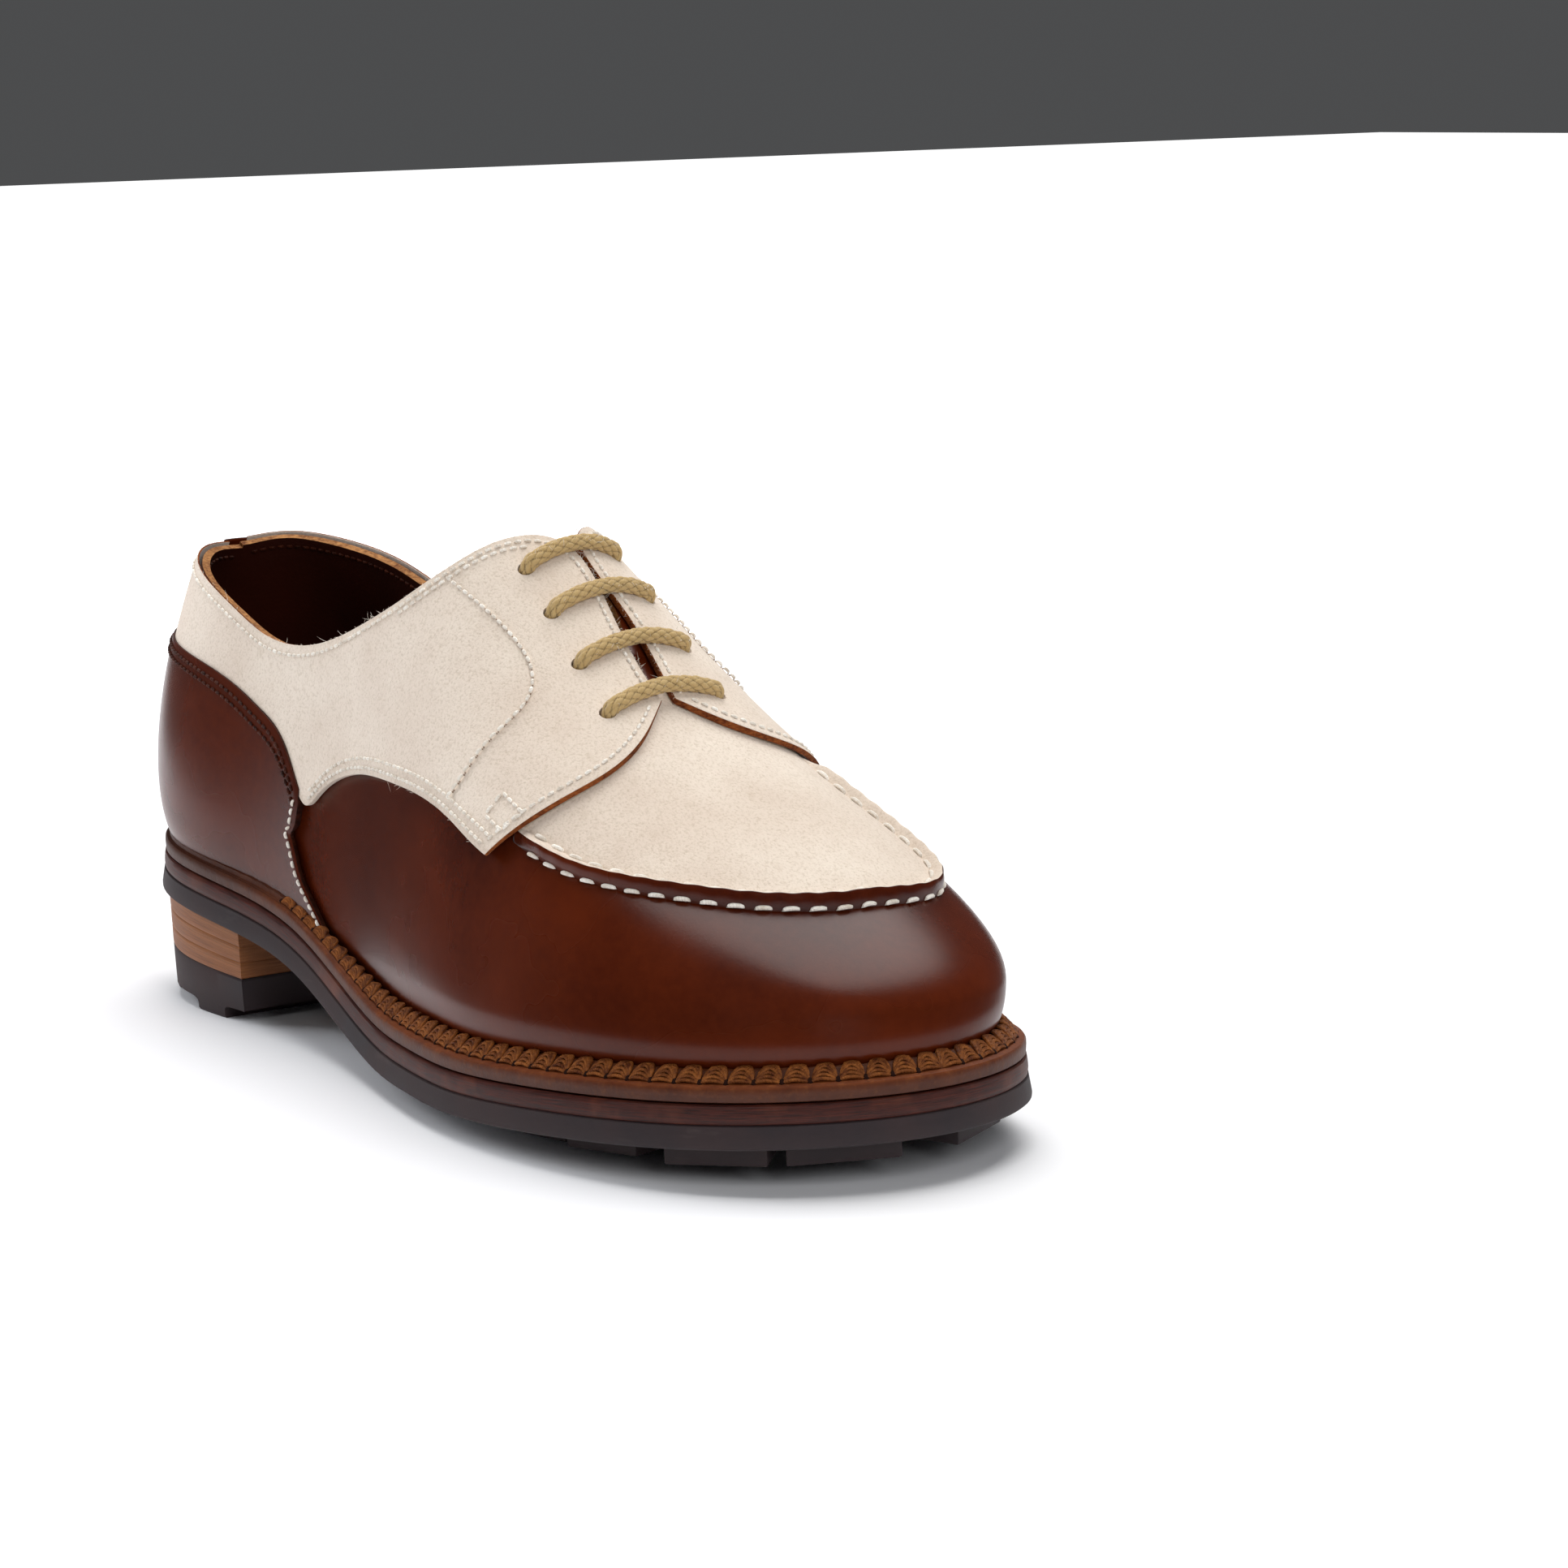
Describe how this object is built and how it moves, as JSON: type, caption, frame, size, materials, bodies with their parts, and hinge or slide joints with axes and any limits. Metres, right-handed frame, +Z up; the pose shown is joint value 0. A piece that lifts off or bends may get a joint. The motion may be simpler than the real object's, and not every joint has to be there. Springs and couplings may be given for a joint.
{
  "type": "derby shoe",
  "caption": "Right derby shoe with a raised apron, leather and suede upper, tied lace bars, wide stitched welt, stacked heel and lugged rubber sole.",
  "frame": {"origin": "on the floor, under the middle of the shoe's bounding box", "axes": "+X from heel to toe, +Y to the medial side, +Z up"},
  "size_m": [0.2994, 0.1116, 0.1266],
  "materials": {
    "chestnut_leather": "smooth calf, soft shine",
    "suede": "napped, matt",
    "lining_leather": "dark smooth lining",
    "welt_leather": "waxed",
    "edge_leather": "burnished edge",
    "stack_leather": "sanded stacked leather",
    "rubber": "matt rubber",
    "lace_cord": "braided waxed cotton",
    "thread": "waxed linen thread"
  },
  "bodies": {
    "root": {"outsole": "rubber", "midsole": "edge_leather", "welt": "welt_leather", "top_lift": "rubber", "heel_lift_1": "stack_leather", "heel_lift_2": "stack_leather", "heel_lift_3": "stack_leather", "insole": "lining_leather", "upper": "chestnut_leather", "quarter_lateral": "suede", "quarter_medial": "suede", "heel_counter": "chestnut_leather", "back_strip": "chestnut_leather", "apron": "suede", "apron_seam": "chestnut_leather", "tongue": "suede", "lace_bar_1": "lace_cord", "lace_bar_2": "lace_cord", "lace_bar_3": "lace_cord", "lace_bar_4": "lace_cord"}
  },
  "joints": []
}
